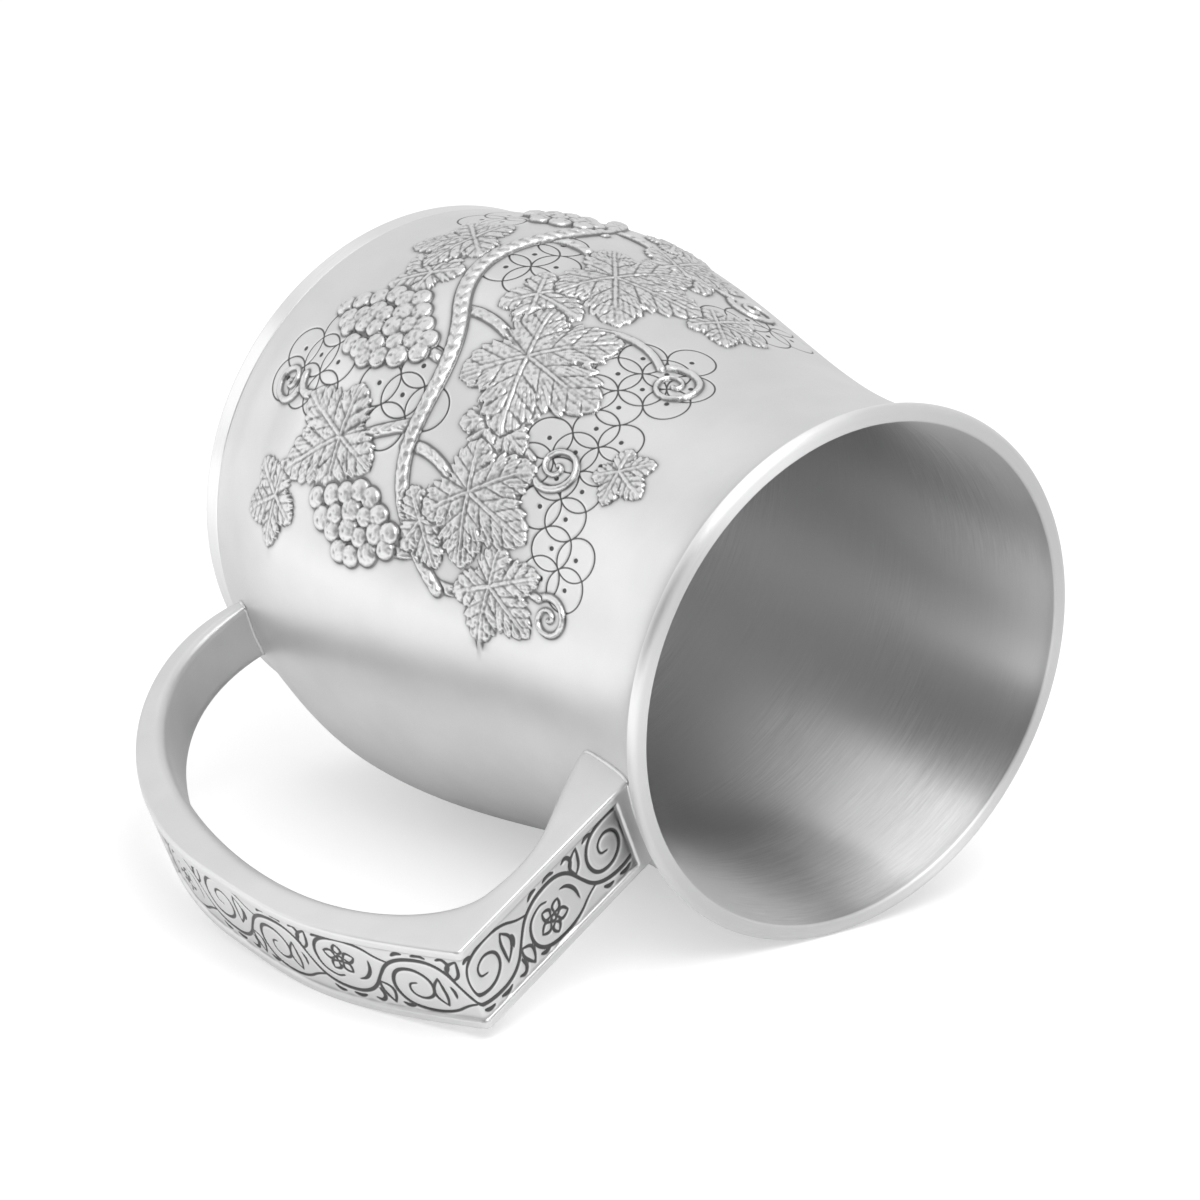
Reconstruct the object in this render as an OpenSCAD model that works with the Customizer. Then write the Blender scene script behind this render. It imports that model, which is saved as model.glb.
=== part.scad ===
// Cast pewter tankard with a bellied body, a rolled lip and a handle with a thumb corner.
// Millimetres. The origin is the centre of the resting face, +Z runs up the axis to the
// mouth, and +X runs out through the middle of the handle.

/* [Body] */
// Height of the lip above the table
rim_h = 105; // [98:1:112]
// Largest outside radius of the belly
belly_r = 45.7; // [44.5:0.1:47]
// Smallest outside radius of the neck
neck_r = 37.2; // [36.4:0.1:37.6]
// Outside radius of the lip
lip_r = 39.7; // [39.4:0.1:40.2]
// Radius of the mouth inside the lip
mouth_r = 37.2; // [36.8:0.1:37.4]
// Outside radius at the bottom, where the body curve would reach the table
foot_r = 41.1; // [40:0.1:42]
// Thickness of the cast wall
wall = 1.8; // [1.4:0.1:2.2]

/* [Base] */
// Height of the plain band that shows below the body
band_h = 3.4; // [2.6:0.1:4]
// Thickness of the floor of the tankard
floor_t = 2.6; // [2:0.1:3]
// Depth of the hollow under the floor
hollow_h = 2; // [1.2:0.1:2.4]
// Width of the ring that the tankard stands on
stand_w = 6; // [4:0.5:9]

/* [Handle] */
// Furthest reach of the handle from the axis
reach = 84; // [80:0.5:88]
// Distance of the thumb corner from the axis
thumb_x = 73.5; // [71:0.5:76]
// Rise of the thumb corner above the lip
thumb_rise = 3.8; // [2:0.2:5]
// Thickness of the handle at its furthest reach
handle_t = 5.1; // [4:0.1:6]
// Width of the handle at the top and down to the middle
handle_w = 14.2; // [12:0.2:16]
// Width of the handle at its lower end
tail_w = 9.5; // [8:0.1:11]
// Width of the raised border on each side of the sunk panel
border = 1.4; // [1:0.1:2]
// Depth of the sunk panel in the outer faces
panel_d = 0.45; // [0.2:0.05:0.8]

/* [Solder] */
// Thickness of the solder film under each end of the handle
film = 0.15; // [0.1:0.05:0.3]
// Size of the solder bead round each end of the handle
bead = 0.6; // [0.4:0.1:0.9]

/* [Hidden] */
$fn = 96;

cast_colour = "#b9bbbd";
turned_colour = "#aeb0b2";
solder_colour = "#d3d5d6";

// Body profile: the belly and neck stand at fixed shares of the height
belly_z = 0.26 * rim_h;
neck_z = 0.848 * rim_h;
foot_lean = 0.45;
lip_round = 1;
lip_edge = 0.4;
lip_start = -60;
flare_pull = 10;
throat_pull = 2.6;
wall_steps = 24;
curve_steps = 14;

// Base: a spigot stands up inside the body and a bevel marks the joint
spigot_gap = 0.3;
band_step = 0.2;
floor_z = hollow_h + floor_t;
edge_bevel = 0.5;
joint_bevel = 0.3;

// Handle outline, seen from the side
thumb = [thumb_x, rim_h + thumb_rise];
root_top = [38, rim_h - 3.6];
root_low = [37.5, rim_h - 15.5];
root_slope = 29;
arch = [63, rim_h - 3.6];
back_z = 0.575 * rim_h;
inner_z = back_z + 8;
tail_top = [42, 11.7];
tail_low = [42, 9.4];
thumb_lean = 24.4;
taper_z = 62;
inside_x = 30;
panel_start = 40.5;
panel_stop = 0.62;

// How far each curve holds its direction at its two ends
flare_hold = 1.2;
thumb_hold = 26.8;
back_hold_up = 18.9;
back_hold_down = 28.2;
tail_low_hold = [19.5, -6.6];
root_hold = 14.8;
arch_hold_in = 11.8;
arch_hold_out = 6.5;
inner_hold_up = 21.5;
inner_hold_down = 22;
tail_top_hold = [27.5, -1.5];

function smooth(u) = u * u * (3 - 2 * u);
function foot_drop(u) = (3 - foot_lean) * u * u + (foot_lean - 2) * u * u * u;
function bezier(a, b, c, d, steps) = [
    for (i = [0 : steps]) let (t = i / steps, s = 1 - t)
        s * s * s * a + 3 * s * s * t * b + 3 * s * t * t * c + t * t * t * d
];
function arc(middle, radius, first, last) = [
    for (a = [first : 15 : last]) middle + radius * [cos(a), sin(a)]
];
function without_first(points) = [for (i = [1 : len(points) - 1]) points[i]];
function backwards(points) = [for (i = [len(points) - 1 : -1 : 0]) points[i]];
function shifted(points, step) = [for (p = points) p + step];

// Outside radius of the body below the neck
function side_r(z) = z < belly_z
    ? belly_r - (belly_r - foot_r) * foot_drop((belly_z - z) / belly_z)
    : neck_r + (belly_r - neck_r) * (1 - smooth((z - belly_z) / (neck_z - belly_z)));

side_points = [
    for (i = [0 : wall_steps]) let (z = band_h + (neck_z - band_h) * i / wall_steps) [side_r(z), z]
];
// The lip is rolled on the outside and flat on top, with a smaller round at the mouth
lip_points = concat(
    arc([lip_r - lip_round, rim_h - lip_round], lip_round, lip_start, 90),
    arc([mouth_r + lip_edge, rim_h - lip_edge], lip_edge, 90, 180)
);
flare_end = lip_points[0];
flare_points = bezier(
    [neck_r, neck_z], [neck_r, neck_z + flare_pull],
    flare_end - flare_hold * [-sin(lip_start), cos(lip_start)], flare_end, curve_steps
);
outside_points = concat(side_points, without_first(flare_points));
throat_points = bezier(
    [mouth_r, rim_h - lip_edge], [mouth_r, rim_h - lip_edge - throat_pull],
    [neck_r - wall, neck_z + flare_pull], [neck_r - wall, neck_z], curve_steps
);
inside_points = shifted(side_points, [-wall, 0]);
band_r = side_r(band_h) - band_step;
spigot_r = side_r(band_h) - wall - spigot_gap;

// Outer edge of the handle: a straight top to the thumb corner, then one long sweep
upper_sweep = bezier(
    thumb, thumb + thumb_hold * [sin(thumb_lean), -cos(thumb_lean)],
    [reach, back_z + back_hold_up], [reach, back_z], curve_steps
);
lower_sweep = bezier(
    [reach, back_z], [reach, back_z - back_hold_down],
    tail_low + tail_low_hold, tail_low, curve_steps
);
outer_edge = concat(upper_sweep, without_first(lower_sweep));
top_slope = (thumb[1] - root_top[1]) / (thumb[0] - root_top[0]);
function top_z(x) = root_top[1] + (x - root_top[0]) * top_slope;

// Inner edge of the handle: a flared root, the arch over the fingers, then the back
inner_reach = reach - handle_t;
root_edge = bezier(
    root_low, root_low + root_hold * [cos(root_slope), sin(root_slope)],
    arch - [arch_hold_in, 0], arch, curve_steps
);
arch_edge = bezier(
    arch, arch + [arch_hold_out, 0],
    [inner_reach, inner_z + inner_hold_up], [inner_reach, inner_z], curve_steps
);
back_edge = bezier(
    [inner_reach, inner_z], [inner_reach, inner_z - inner_hold_down],
    tail_top + tail_top_hold, tail_top, curve_steps
);
inner_edge = concat(root_edge, without_first(arch_edge), without_first(back_edge));

// The sunk panel follows the straight top and the sweep down past the middle
panel_edge = [for (i = [1 : floor(panel_stop * len(outer_edge))]) outer_edge[i]];

// Direction into the metal at a point of the outer edge
function into_metal(points, i) = let (
    ahead = points[min(i + 1, len(points) - 1)] - points[max(i - 1, 0)]
) [ahead[1], -ahead[0]] / norm(ahead);

module turned(points) {
    rotate_extrude() polygon(points);
}

// Shapes drawn in the side view and the front view, extruded across the other
module across(points, width) {
    rotate([90, 0, 0]) linear_extrude(width, center = true) polygon(points);
}

module along(points, length) {
    rotate([90, 0, 90]) linear_extrude(length) polygon(points);
}

// Outside form of the body as a solid, grown outwards
module body_form(grow) {
    turned(concat(
        [[0, band_h]], shifted(outside_points, [grow, 0]), [[0, flare_end[1]]]
    ));
}

module handle_front(inset) {
    wide = handle_w / 2 - inset;
    narrow = tail_w / 2 - inset;
    above = thumb[1] + 1;
    low_z = tail_low[1] - 2;
    along([
        [-narrow, low_z], [narrow, low_z], [wide, taper_z], [wide, above], [-wide, above], [-wide, taper_z]
    ], reach + 1);
}

module handle_blank() {
    difference() {
        intersection() {
            across(concat(
                [[inside_x, top_z(inside_x)]], outer_edge, [[inside_x, tail_low[1]], [inside_x, tail_top[1]]],
                backwards(inner_edge), [[inside_x, root_low[1]]]
            ), handle_w + 1);
            handle_front(0);
        }
        body_form(film);
    }
}

module panel_cut() {
    steps = len(panel_edge);
    corner = thumb - panel_d * [0.4, 1.3];
    intersection() {
        across(concat(
            [[panel_start, top_z(panel_start) + 1], thumb + [0.5, 1.5]],
            [for (i = [0 : steps - 1]) panel_edge[i] - into_metal(panel_edge, i)],
            [for (i = [steps - 1 : -1 : 0]) panel_edge[i] + panel_d * into_metal(panel_edge, i)],
            [corner, [panel_start, top_z(panel_start) - panel_d]]
        ), handle_w);
        handle_front(border);
    }
}

// Solder that lies under a handle end and rises in a bead round it
module end_solder(collar, width) {
    difference() {
        intersection() {
            difference() {
                body_form(bead);
                body_form(0);
            }
            across(collar, width + 2 * bead);
        }
        handle_blank();
    }
}

module body() {
    color(cast_colour) turned(concat(
        outside_points, without_first(lip_points), without_first(throat_points),
        without_first(backwards(inside_points))
    ));
}

module base_plate() {
    stand_r = band_r - stand_w;
    color(turned_colour) turned([
        [0, hollow_h], [stand_r - hollow_h, hollow_h], [stand_r, 0], [band_r - edge_bevel, 0],
        [band_r, edge_bevel], [band_r, band_h - joint_bevel], [band_r - joint_bevel, band_h],
        [spigot_r, band_h], [spigot_r, floor_z], [0, floor_z]
    ]);
}

// Ring of solder in the gap between the floor's spigot and the inside of the wall
module base_solder() {
    color(solder_colour) intersection() {
        turned([
            [spigot_r, band_h], [spigot_r + wall, band_h], [spigot_r + wall, floor_z], [spigot_r, floor_z]
        ]);
        turned(concat([[0, band_h]], inside_points, [[0, neck_z]]));
    }
}

module handle() {
    color(cast_colour) difference() {
        handle_blank();
        panel_cut();
    }
}

module upper_solder() {
    low = root_low - [0, bead / cos(root_slope)];
    far = 8;
    color(solder_colour) end_solder([
        [inside_x, top_z(inside_x) + bead], [root_top[0] + far, top_z(root_top[0] + far) + bead],
        low + far * [1, tan(root_slope)], low - (low[0] - inside_x) * [1, tan(root_slope)]
    ], handle_w);
}

module lower_solder() {
    far = 6;
    rise = 2;
    color(solder_colour) end_solder([
        tail_top + [-far, bead + 0.3], tail_top + [far, bead - 0.3],
        tail_low + [far, -bead - rise], tail_low + [-far, rise - bead]
    ], tail_w);
}

body();
base_plate();
base_solder();
handle();
upper_solder();
lower_solder();
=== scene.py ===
from math import cos, pi, radians, sin, sqrt, tan

import bpy
import numpy as np
from mathutils import Matrix, Vector


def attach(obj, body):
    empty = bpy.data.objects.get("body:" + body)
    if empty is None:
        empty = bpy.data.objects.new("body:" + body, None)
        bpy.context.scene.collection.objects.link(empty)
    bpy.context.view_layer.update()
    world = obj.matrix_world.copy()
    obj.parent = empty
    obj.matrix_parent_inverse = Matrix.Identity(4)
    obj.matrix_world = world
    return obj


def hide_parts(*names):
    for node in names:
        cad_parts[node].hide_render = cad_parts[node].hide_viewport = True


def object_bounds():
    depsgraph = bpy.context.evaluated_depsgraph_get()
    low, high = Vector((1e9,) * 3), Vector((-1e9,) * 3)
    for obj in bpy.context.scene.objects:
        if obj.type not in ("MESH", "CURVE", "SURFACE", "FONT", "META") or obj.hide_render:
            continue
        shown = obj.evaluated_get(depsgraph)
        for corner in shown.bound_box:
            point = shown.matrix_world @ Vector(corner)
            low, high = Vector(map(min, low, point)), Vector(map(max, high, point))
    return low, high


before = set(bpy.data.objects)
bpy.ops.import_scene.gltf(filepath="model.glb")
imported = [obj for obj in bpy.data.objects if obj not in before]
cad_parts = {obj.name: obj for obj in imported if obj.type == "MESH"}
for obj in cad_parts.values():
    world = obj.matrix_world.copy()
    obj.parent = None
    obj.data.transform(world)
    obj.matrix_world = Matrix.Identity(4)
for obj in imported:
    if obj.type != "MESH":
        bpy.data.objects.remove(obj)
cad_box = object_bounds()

scene = bpy.context.scene
scene.view_settings.view_transform = "Standard"

# Camera: a long lens, about two thirds of a metre away, looks down on the tankard as it
# lies on its side with its mouth to the right and its handle to the lower left.
MM = 0.001
camera_place = Vector((244.82, -348.89, 509.59)) * MM
camera_forward = Vector((-0.3815, 0.5634, -0.7328)).normalized()
camera_right = Vector((-0.7480, 0.2777, 0.6029))
camera_up = camera_right.cross(camera_forward).normalized()
camera_right = camera_forward.cross(camera_up)
camera_data = bpy.data.cameras.new("camera")
camera_data.lens = 126
camera_data.sensor_width = 36
camera_data.clip_start = 0.01
camera = bpy.data.objects.new("camera", camera_data)
camera.matrix_world = (
    Matrix.Translation(camera_place)
    @ Matrix((camera_right, camera_up, -camera_forward)).transposed().to_4x4()
)
scene.collection.objects.link(camera)
scene.camera = camera

# Floor: the white sheet that the tankard lies on, with its soft shadow. The lip, the belly
# and the handle touch it, so in the tankard's own upright frame it stands at a slant.
floor_down = Vector((0.425, 0.902, 0.081)).normalized()
floor_depth = 48.05 * MM
floor_half = 3000 * MM
floor_glow = 0.47
# Painted reflection: the metal sees the floor glow more towards the front left, away from the cup's
# shadow.
painted_reflection_glow = 0.7
painted_reflection_ends = (0, 200 * MM)
floor_white = (0.64, 0.64, 0.64, 1)
floor_right = (camera_right - floor_down * camera_right.dot(floor_down)).normalized()
floor_away = floor_right.cross(floor_down)
floor_mid = floor_down * floor_depth
floor_corners = [
    floor_mid + floor_half * (a * floor_right + b * floor_away)
    for a, b in ((-1, -1), (-1, 1), (1, 1), (1, -1))
]
floor_mesh = bpy.data.meshes.new("floor")
floor_mesh.from_pydata(floor_corners, [], [(0, 1, 2, 3)])
if floor_mesh.polygons[0].normal.dot(floor_down) > 0:
    floor_mesh.flip_normals()
floor = bpy.data.objects.new("floor", floor_mesh)
scene.collection.objects.link(floor)


def feed(tree, socket, value):
    """Gives a socket a plain value or the output of another node."""
    if isinstance(value, bpy.types.NodeSocket):
        tree.links.new(value, socket)
    else:
        socket.default_value = value


def put(tree, kind, settings=None, **sockets):
    """Adds a node; each socket takes a plain value or the output of another node."""
    made = tree.nodes.new(kind)
    for name, value in (settings or {}).items():
        setattr(made, name, value)
    for name, value in sockets.items():
        feed(tree, made.inputs[name.replace("_", " ")], value)
    return made


def sums(tree, how, first, second):
    """One step of arithmetic between two outputs, or an output and a number."""
    made = put(tree, "ShaderNodeMath", {"operation": how})
    feed(tree, made.inputs[0], first)
    feed(tree, made.inputs[1], second)
    return made.outputs[0]


def grade(tree, value, low, high, at_low, at_high):
    """Carries a value from one range to another."""
    made = put(
        tree, "ShaderNodeMapRange", Value=value, From_Min=low, From_Max=high, To_Min=at_low, To_Max=at_high
    )
    return made.outputs[0]


floor_paint = bpy.data.materials.new("white floor")
floor_paint.use_nodes = True
tree = floor_paint.node_tree
tree.nodes.clear()
path = put(tree, "ShaderNodeLightPath")
# Painted reflection: to the metal the floor glows, not at all near the cup and more towards the front
# left, which paints the cup's shadow into the mirrored floor.
to_front_left = put(tree, "ShaderNodeVectorMath", {"operation": "DOT_PRODUCT"})
tree.links.new(put(tree, "ShaderNodeTexCoord").outputs["Object"], to_front_left.inputs[0])
to_front_left.inputs[1].default_value = -(floor_right + floor_away)
painted_reflection = grade(tree, to_front_left.outputs["Value"], *painted_reflection_ends, 0, painted_reflection_glow)
glow_level = sums(
    tree, "ADD", sums(tree, "MULTIPLY", path.outputs["Is Camera Ray"], floor_glow),
    sums(tree, "MULTIPLY", path.outputs["Is Glossy Ray"], painted_reflection)
)
above = put(tree, "ShaderNodeAddShader")
tree.links.new(put(tree, "ShaderNodeBsdfDiffuse", Color=floor_white).outputs[0], above.inputs[0])
tree.links.new(put(tree, "ShaderNodeEmission", Strength=glow_level).outputs[0], above.inputs[1])
open_below = put(tree, "ShaderNodeMixShader", Fac=put(tree, "ShaderNodeNewGeometry").outputs["Backfacing"])
tree.links.new(above.outputs[0], open_below.inputs[1])
tree.links.new(put(tree, "ShaderNodeBsdfTransparent").outputs[0], open_below.inputs[2])
put(tree, "ShaderNodeOutputMaterial", Surface=open_below.outputs[0])
floor_mesh.materials.append(floor_paint)

# Light: a white room and five soft boxes. The left and overhead ones are mirrored in broad
# bands along the body, the front, high and right ones in the inside and on the lip.
room_level = 0.86
box_distance = 1.0
world = bpy.data.worlds.new("white room")
scene.world = world
world.use_nodes = True
tree = world.node_tree
tree.nodes.clear()
room = put(tree, "ShaderNodeBackground", Color=(1, 1, 1, 1), Strength=room_level)
backdrop = put(tree, "ShaderNodeBackground", Color=(1, 1, 1, 1), Strength=1.0)
room_mix = put(tree, "ShaderNodeMixShader", Fac=put(tree, "ShaderNodeLightPath").outputs["Is Camera Ray"])
tree.links.new(room.outputs[0], room_mix.inputs[1])
tree.links.new(backdrop.outputs[0], room_mix.inputs[2])
put(tree, "ShaderNodeOutputWorld", Surface=room_mix.outputs[0])


def soft_box(name, direction, width, height, brightness):
    """A rectangular lamp that faces the tankard and glows with an even brightness."""
    lamp = bpy.data.lights.new(name, "AREA")
    lamp.shape = "RECTANGLE"
    lamp.size = width
    lamp.size_y = height
    lamp.energy = brightness * pi * width * height
    box = bpy.data.objects.new(name, lamp)
    towards = Vector(direction).normalized()
    box.location = towards * box_distance
    box.rotation_mode = "QUATERNION"
    box.rotation_quaternion = (-towards).to_track_quat("-Z", "Y")
    scene.collection.objects.link(box)


def from_floor(right, away, up):
    """A direction given as right, away and up, seen from the front of the floor."""
    return right * floor_right + away * floor_away - up * floor_down


soft_box("left soft box", from_floor(-0.90, 0.17, 0.35), width=0.6, height=0.6, brightness=0.52)
soft_box("overhead soft box", from_floor(-0.40, 0.30, 0.85), width=0.5, height=0.5, brightness=0.28)
soft_box("front soft box", from_floor(0.19, -0.62, 0.76), width=0.71, height=0.44, brightness=4.0)
soft_box("high soft box", from_floor(0.40, -0.18, 0.90), width=0.5, height=0.36, brightness=1.8)
soft_box("right soft box", from_floor(0.84, -0.46, 0.12), width=0.6, height=0.26, brightness=1.1)
scene.cycles.glossy_bounces = 8

# Dark cards: the unlit front and right of the room, outside the picture. The metal mirrors
# them, which gives the relief and the inside of the cup their dark tones. A card has its two
# ends on the floor and the heights of its low and high edge, in metres.
front_card = ((-2.2, -1.2), (0.1, -1.2), -0.03, 0.85)
right_card = ((0.9, -1.2), (1.9, -0.4), 0.6, 2.3)
card_dark = (0.05, 0.05, 0.05, 1)
card_corners = []
for left_end, right_end, low, high in (front_card, right_card):
    for end, height in ((left_end, low), (right_end, low), (right_end, high), (left_end, high)):
        card_corners.append(from_floor(*end, height))
card_mesh = bpy.data.meshes.new("dark_card")
card_mesh.from_pydata(card_corners, [], [(0, 1, 2, 3), (4, 5, 6, 7)])
card = bpy.data.objects.new("dark_card", card_mesh)
card.visible_camera = False
scene.collection.objects.link(card)
card_paint = bpy.data.materials.new("dark card")
card_paint.use_nodes = True
card_paint.node_tree.nodes["Principled BSDF"].inputs["Base Color"].default_value = card_dark
card_mesh.materials.append(card_paint)

# Body: one pewter casting, turned inside and on the lip and softly brushed outside. A vine
# with leaves and grapes stands in relief on one flank, over an engraved ground of rings.
rim_h = 105.0
belly_r = 45.7
neck_r = 37.2
foot_r = 41.1
lip_r = 39.7
mouth_r = 37.2
lip_round = 1.0
lip_edge = 0.4
wall = 1.8
band_h = 3.4
belly_z = 0.26 * rim_h
neck_z = 0.848 * rim_h
foot_lean = 0.45
lip_start = radians(-60)
flare_pull = 10.0
flare_hold = 1.2
throat_pull = 2.6
foot_round = 0.35

relief_low = 7.6
relief_step = 0.18
relief_mid = radians(-84)
relief_half = radians(59)
relief_r = 44.0
coarse_turn = radians(2)


def side_r(z):
    """Outside radius of the body below the neck."""
    z = np.asarray(z, float)
    down = np.clip((belly_z - z) / belly_z, 0, 1)
    up = np.clip((z - belly_z) / (neck_z - belly_z), 0, 1)
    foot_drop = (3 - foot_lean) * down**2 + (foot_lean - 2) * down**3
    return belly_r - (belly_r - foot_r) * foot_drop - (belly_r - neck_r) * up**2 * (3 - 2 * up)


def curve(start, leave, arrive, end, count):
    """Points of a smooth curve that leaves and arrives along two given points."""
    t = np.linspace(0, 1, count)[:, None]
    s = 1 - t
    pulls = [np.asarray(p, float) for p in (start, leave, arrive, end)]
    return s**3 * pulls[0] + 3 * s**2 * t * pulls[1] + 3 * s * t**2 * pulls[2] + t**3 * pulls[3]


def arc(middle, radius, first, last, count):
    """Points of a circle between two angles."""
    turn = np.linspace(first, last, count)
    return np.c_[middle[0] + radius * np.cos(turn), middle[1] + radius * np.sin(turn)]


def smooth(share):
    """An even step from 0 to 1."""
    share = np.clip(share, 0, 1)
    return share * share * (3 - 2 * share)


foot_edge = float(side_r(band_h))
foot_arc = arc((foot_edge - foot_round, band_h + foot_round), foot_round, -pi / 2, 0, 6)
plain_z = np.linspace(band_h + foot_round, relief_low, 10)[1:-1]
relief_z = np.linspace(relief_low, neck_z, int((neck_z - relief_low) / relief_step))
side_z = np.r_[plain_z, relief_z]
lip_top = np.linspace(lip_r - lip_round, mouth_r + lip_edge, 8)[1:-1]
lip = np.vstack([
    arc((lip_r - lip_round, rim_h - lip_round), lip_round, lip_start, pi / 2, 18),
    np.c_[lip_top, rim_h + 0 * lip_top],
    arc((mouth_r + lip_edge, rim_h - lip_edge), lip_edge, pi / 2, pi, 10),
])
flare_end = lip[0]
flare_lean = np.array((-sin(lip_start), cos(lip_start)))
flare = curve(
    (neck_r, neck_z), (neck_r, neck_z + flare_pull), flare_end - flare_hold * flare_lean, flare_end, 20
)
throat = curve(
    lip[-1], lip[-1] - (0, throat_pull), (neck_r - wall, neck_z + flare_pull),
    (neck_r - wall, neck_z), 16
)
lining_z = np.linspace(neck_z, band_h, 40)
profile = np.vstack([
    foot_arc, np.c_[side_r(side_z), side_z], flare[1:], lip[1:], throat[1:],
    np.c_[side_r(lining_z) - wall, lining_z][1:],
])
first_relief = len(foot_arc) + len(plain_z)
relief_rows = slice(first_relief, first_relief + len(relief_z))
first_lip = first_relief + len(relief_z) + len(flare) - 1
first_lining = first_lip + len(lip) - 1
mouth_rows = 2

fine_turn = relief_step / relief_r
fine_turns = np.arange(relief_mid - relief_half, relief_mid + relief_half, fine_turn)
coarse_span = 2 * pi - (fine_turns[-1] - fine_turns[0])
coarse_count = int(coarse_span / coarse_turn)
coarse_turns = fine_turns[-1] + coarse_span * np.arange(1, coarse_count) / coarse_count
turns = np.r_[fine_turns, coarse_turns]
relief_columns = slice(0, len(fine_turns))

# The relief is drawn flat, in millimetres: across is measured round the belly from the
# middle of the spray, and up is the height above the table. A second field holds how dark
# the colour lies: patina, and painted shade in the creases, grooves and gaps of the motifs.
flat_x = (fine_turns - relief_mid) * relief_r
across, up = np.meshgrid(flat_x, relief_z)
relief = np.zeros(across.shape)
patina_and_shade = np.zeros(across.shape)
covered = np.zeros(across.shape)
edge_soft = 0.17
moat_depth = 0.9
outline_dark = 0.8
outline_out = 0.06
outline_width = 0.17
far_off = 1e9


def patch(points, margin):
    """The part of the drawing that lies round some points."""
    low = np.min(points, axis=0) - margin
    high = np.max(points, axis=0) + margin
    rows = slice(*np.searchsorted(relief_z, (low[1], high[1])))
    columns = slice(*np.searchsorted(flat_x, (low[0], high[0])))
    return rows, columns


def ridge(off, width):
    """A soft ridge: 1 on its line, fading to both sides over a width."""
    return np.exp(-((off / width) ** 2))


def lay(part, inside, height, dark, moat):
    """Lays a motif over what is there, sinks the ground round its edge and paints a dark line round it:
    patina and painted shade.
    """
    cover = smooth(inside / (2 * edge_soft) + 0.5)
    sunk = 1 - moat_depth * ridge(np.minimum(inside, 0), moat)
    relief[part] = relief[part] * sunk * (1 - cover) + height * cover
    # A dark line painted just outside the motif's edge, in the sunk ground: patina and painted shade.
    outline = outline_dark * ridge(inside + outline_out, outline_width)
    patina_and_shade[part] = np.maximum(patina_and_shade[part] * (1 - cover), np.maximum(outline, dark * cover))
    covered[part] = np.maximum(covered[part], cover)


def nearest(line, x, y):
    """Distance to a drawn line, the share of its length there, and its whole length."""
    best = np.full(x.shape, far_off)
    run = np.zeros(x.shape)
    steps = np.diff(line, axis=0)
    lengths = np.hypot(steps[:, 0], steps[:, 1])
    begun = np.r_[0, np.cumsum(lengths)]
    for begin, step, length, before in zip(line, steps, lengths, begun):
        from_x = x - begin[0]
        from_y = y - begin[1]
        t = np.clip((from_x * step[0] + from_y * step[1]) / length**2, 0, 1)
        far = np.hypot(from_x - t * step[0], from_y - t * step[1])
        closer = far < best
        best = np.where(closer, far, best)
        run = np.where(closer, before + t * length, run)
    return best, run / begun[-1], begun[-1]


stem_room = 4
stem_lift = 0.1
bark_from = 0.8
bark_rise = 0.09
bark_dark = 0.35
bark_twist = 3.1
bark_slant = 3.5


def stem(line, begin_half, rise, thin_end, moat):
    """A round stem along a line, with a twisted bark where it is thick."""
    part = patch(line, stem_room)
    far, share, length = nearest(line, across[part], up[part])
    half = begin_half * (1 - (1 - thin_end) * share)
    bulge = np.sqrt(1 - np.clip(far / half, 0, 1) ** 2)
    twist = np.sin(share * length * bark_twist + far * bark_slant)
    has_bark = begin_half > bark_from
    height = stem_lift + (rise + bark_rise * twist * has_bark) * bulge
    # The bark's grooves are coloured darker: patina, partly painted shade.
    lay(part, half - far, height, bark_dark * has_bark * (twist < -0.5), moat)


tendril_end = 0.15


def tendril(middle, begin, radius, winds):
    """A line that coils inwards; negative winds coil the other way."""
    share = np.linspace(0, 1, 56)[:, None]
    shrink = radius * (1 - share) ** 0.9 + tendril_end
    turn = radians(begin) + 2 * pi * winds * share
    return np.asarray(middle) + shrink * np.hstack([np.cos(turn), np.sin(turn)])


# A lobe has its turn from the middle one, and its length and width as shares of the leaf.
lobes = ((0, 1.0, 0.36), (60, 0.9, 0.33), (-60, 0.9, 0.33), (122, 0.66, 0.30), (-122, 0.66, 0.30))
lobe_teeth = 6.5
tooth_depth = 0.26
pleats = 66
pleat_least = 0.42
pleat_ease = 0.25
pleat_rise = 0.06
pleat_dark = 0.42
leaf_room = 2
leaf_lift = 0.24
leaf_swell = 0.3
leaf_moat = 0.6
leaf_edge_in = 0.24
leaf_edge_width = 0.18
leaf_edge_rise = 0.1
rib_rise = 0.26
rib_width = 0.24
groove_depth = 0.24
groove_width = 0.6
groove_out = 0.42
groove_line = 0.17
groove_dark = 0.75
vein_share = 0.2
vein_slope = 0.9
vein_width = 0.2703
vein_depth = 0.15
vein_dark = 0.6


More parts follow.
